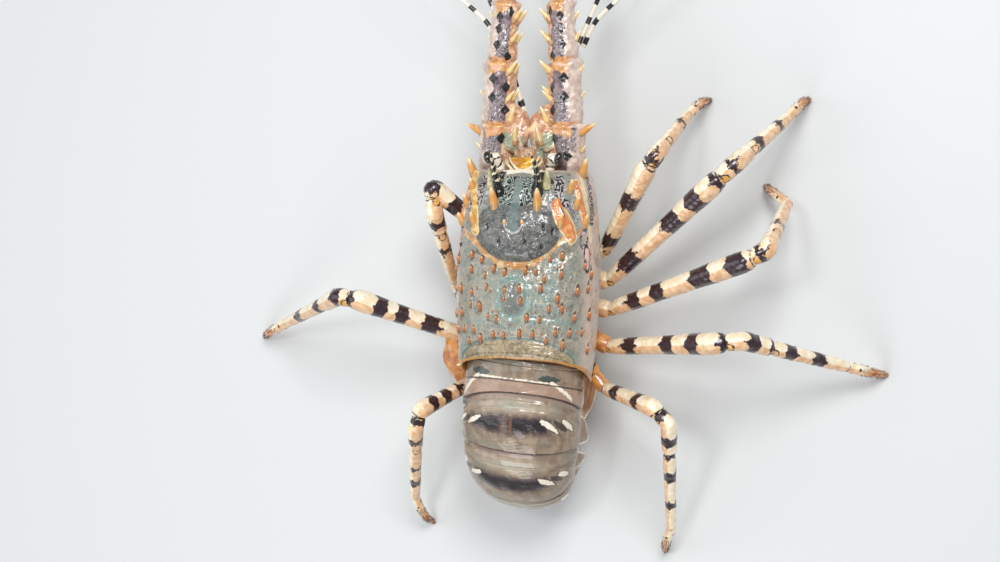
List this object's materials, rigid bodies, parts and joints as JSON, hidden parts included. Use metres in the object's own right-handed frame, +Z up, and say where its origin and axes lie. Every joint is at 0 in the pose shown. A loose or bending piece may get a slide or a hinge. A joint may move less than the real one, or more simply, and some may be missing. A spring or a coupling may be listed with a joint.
{
  "type": "spiny lobster",
  "caption": "Life-size still spiny lobster on its walking legs, tail curled under a spiny carapace, long whips and banded legs.",
  "frame": {"origin": "on the floor, at the middle of the model's bounding box", "axes": "+Y forwards past the head and along the antennae, +X to the animal's right, +Z up from the floor"},
  "size_m": [0.52, 0.8604, 0.2149],
  "materials": {
    "carapace": "wet glossy shell, grey-green and teal with orange spines",
    "abdomen": "wet glossy greige shell with dark cross bands",
    "legs": "wet glossy cream shell with dark maroon bands",
    "antennae": "wet glossy lilac-pink shell with dark spots",
    "antennules": "smooth shell banded dark and white",
    "eyes": "glossy black cornea on a pale marked stalk",
    "face": "wet glossy pinkish shell",
    "underside": "pale smooth shell and membrane",
    "tail_fan": "leathery pinkish-orange blades with pale rims"
  },
  "bodies": {
    "root": {"carapace": "carapace", "mouth": "underside", "maxilliped_left": "legs", "maxilliped_right": "legs", "antennular_plate": "face", "eye_left": "eyes", "eye_right": "eyes", "antenna_left_base": "antennae", "antenna_left_middle": "antennae", "antenna_left_end": "antennae", "antenna_left_whip_near": "antennae", "antenna_left_whip_far": "antennae", "antenna_right_base": "antennae", "antenna_right_middle": "antennae", "antenna_right_end": "antennae", "antenna_right_whip_near": "antennae", "antenna_right_whip_far": "antennae", "antennule_left_stem": "antennules", "antennule_left_outer": "antennules", "antennule_left_inner": "antennules", "antennule_right_stem": "antennules", "antennule_right_outer": "antennules", "antennule_right_inner": "antennules", "sternum": "underside", "abdomen_1": "abdomen", "abdomen_2": "abdomen", "abdomen_3": "abdomen", "abdomen_4": "abdomen", "abdomen_5": "abdomen", "abdomen_6": "abdomen", "telson": "tail_fan", "uropod_inner_left": "tail_fan", "uropod_outer_left": "tail_fan", "uropod_inner_right": "tail_fan", "uropod_outer_right": "tail_fan", "leg_1_left_upper": "legs", "leg_1_left_lower": "legs", "leg_2_left_upper": "legs", "leg_2_left_lower": "legs", "leg_3_left_upper": "legs", "leg_3_left_lower": "legs", "leg_4_left_upper": "legs", "leg_4_left_lower": "legs", "leg_5_left_upper": "legs", "leg_5_left_lower": "legs", "leg_1_right_upper": "legs", "leg_1_right_lower": "legs", "leg_2_right_upper": "legs", "leg_2_right_lower": "legs", "leg_3_right_upper": "legs", "leg_3_right_lower": "legs", "leg_4_right_upper": "legs", "leg_4_right_lower": "legs", "leg_5_right_upper": "legs", "leg_5_right_lower": "legs"}
  },
  "joints": []
}
